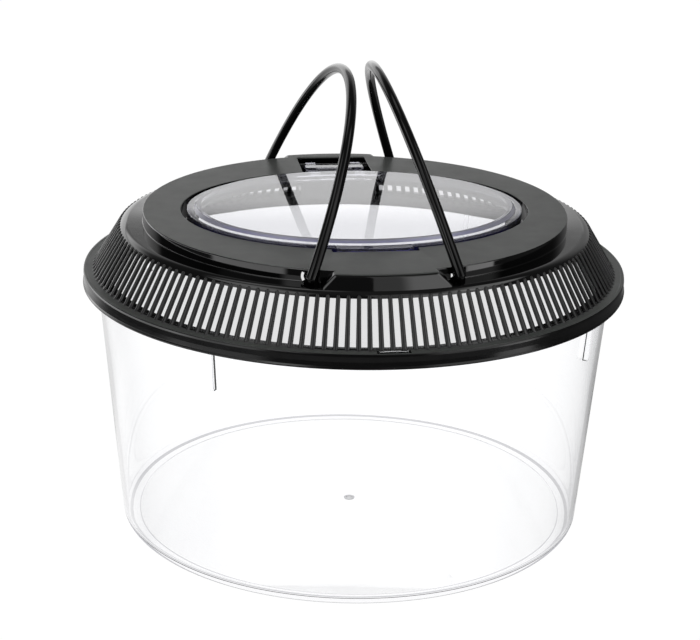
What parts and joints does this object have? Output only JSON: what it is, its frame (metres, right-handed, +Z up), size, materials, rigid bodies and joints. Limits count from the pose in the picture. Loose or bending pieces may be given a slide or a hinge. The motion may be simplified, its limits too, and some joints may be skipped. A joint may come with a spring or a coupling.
{
  "type": "round plastic pet keeper",
  "caption": "Round clear tub with a black vented push-down lid, a hinged oval feeding window and two folding carrying handles.",
  "frame": {"origin": "centre of the foot ring, on the surface the tub stands on", "axes": "+Z up; the front, with the window's finger tab, faces -Y; +X to the right seen from the front"},
  "size_m": [0.3008, 0.3008, 0.2572],
  "materials": {
    "clear_tub": "water-clear polished plastic",
    "clear_window": "clear polished plastic with a slight violet edge tint",
    "black_lid": "black plastic, fine satin on top faces and polished on upright walls",
    "black_handle": "polished black plastic"
  },
  "bodies": {
    "tub": {"tub": "clear_tub"},
    "lid": {"lid": "black_lid"},
    "window": {"window": "clear_window"},
    "handle_left": {"handle_left": "black_handle"},
    "handle_right": {"handle_right": "black_handle"}
  },
  "joints": [
    {"name": "lid_lift", "type": "slide", "parent": "tub", "child": "lid", "axis": [0, 0, 1], "range_m": [0, 0.1]},
    {"name": "window_hinge", "type": "hinge", "parent": "lid", "child": "window", "pos_m": [0, 0.1, 0.1745], "axis": [-1, 0, 0], "range_deg": [0, 15]},
    {"name": "handle_left_swing", "type": "hinge", "parent": "lid", "child": "handle_left", "pos_m": [-0.0375, 0, 0.1745], "axis": [0, 1, 0], "range_deg": [-111.6, 2.4]},
    {"name": "handle_right_swing", "type": "hinge", "parent": "lid", "child": "handle_right", "pos_m": [0.0375, 0, 0.1745], "axis": [0, -1, 0], "range_deg": [-108.7, 5.3]}
  ]
}
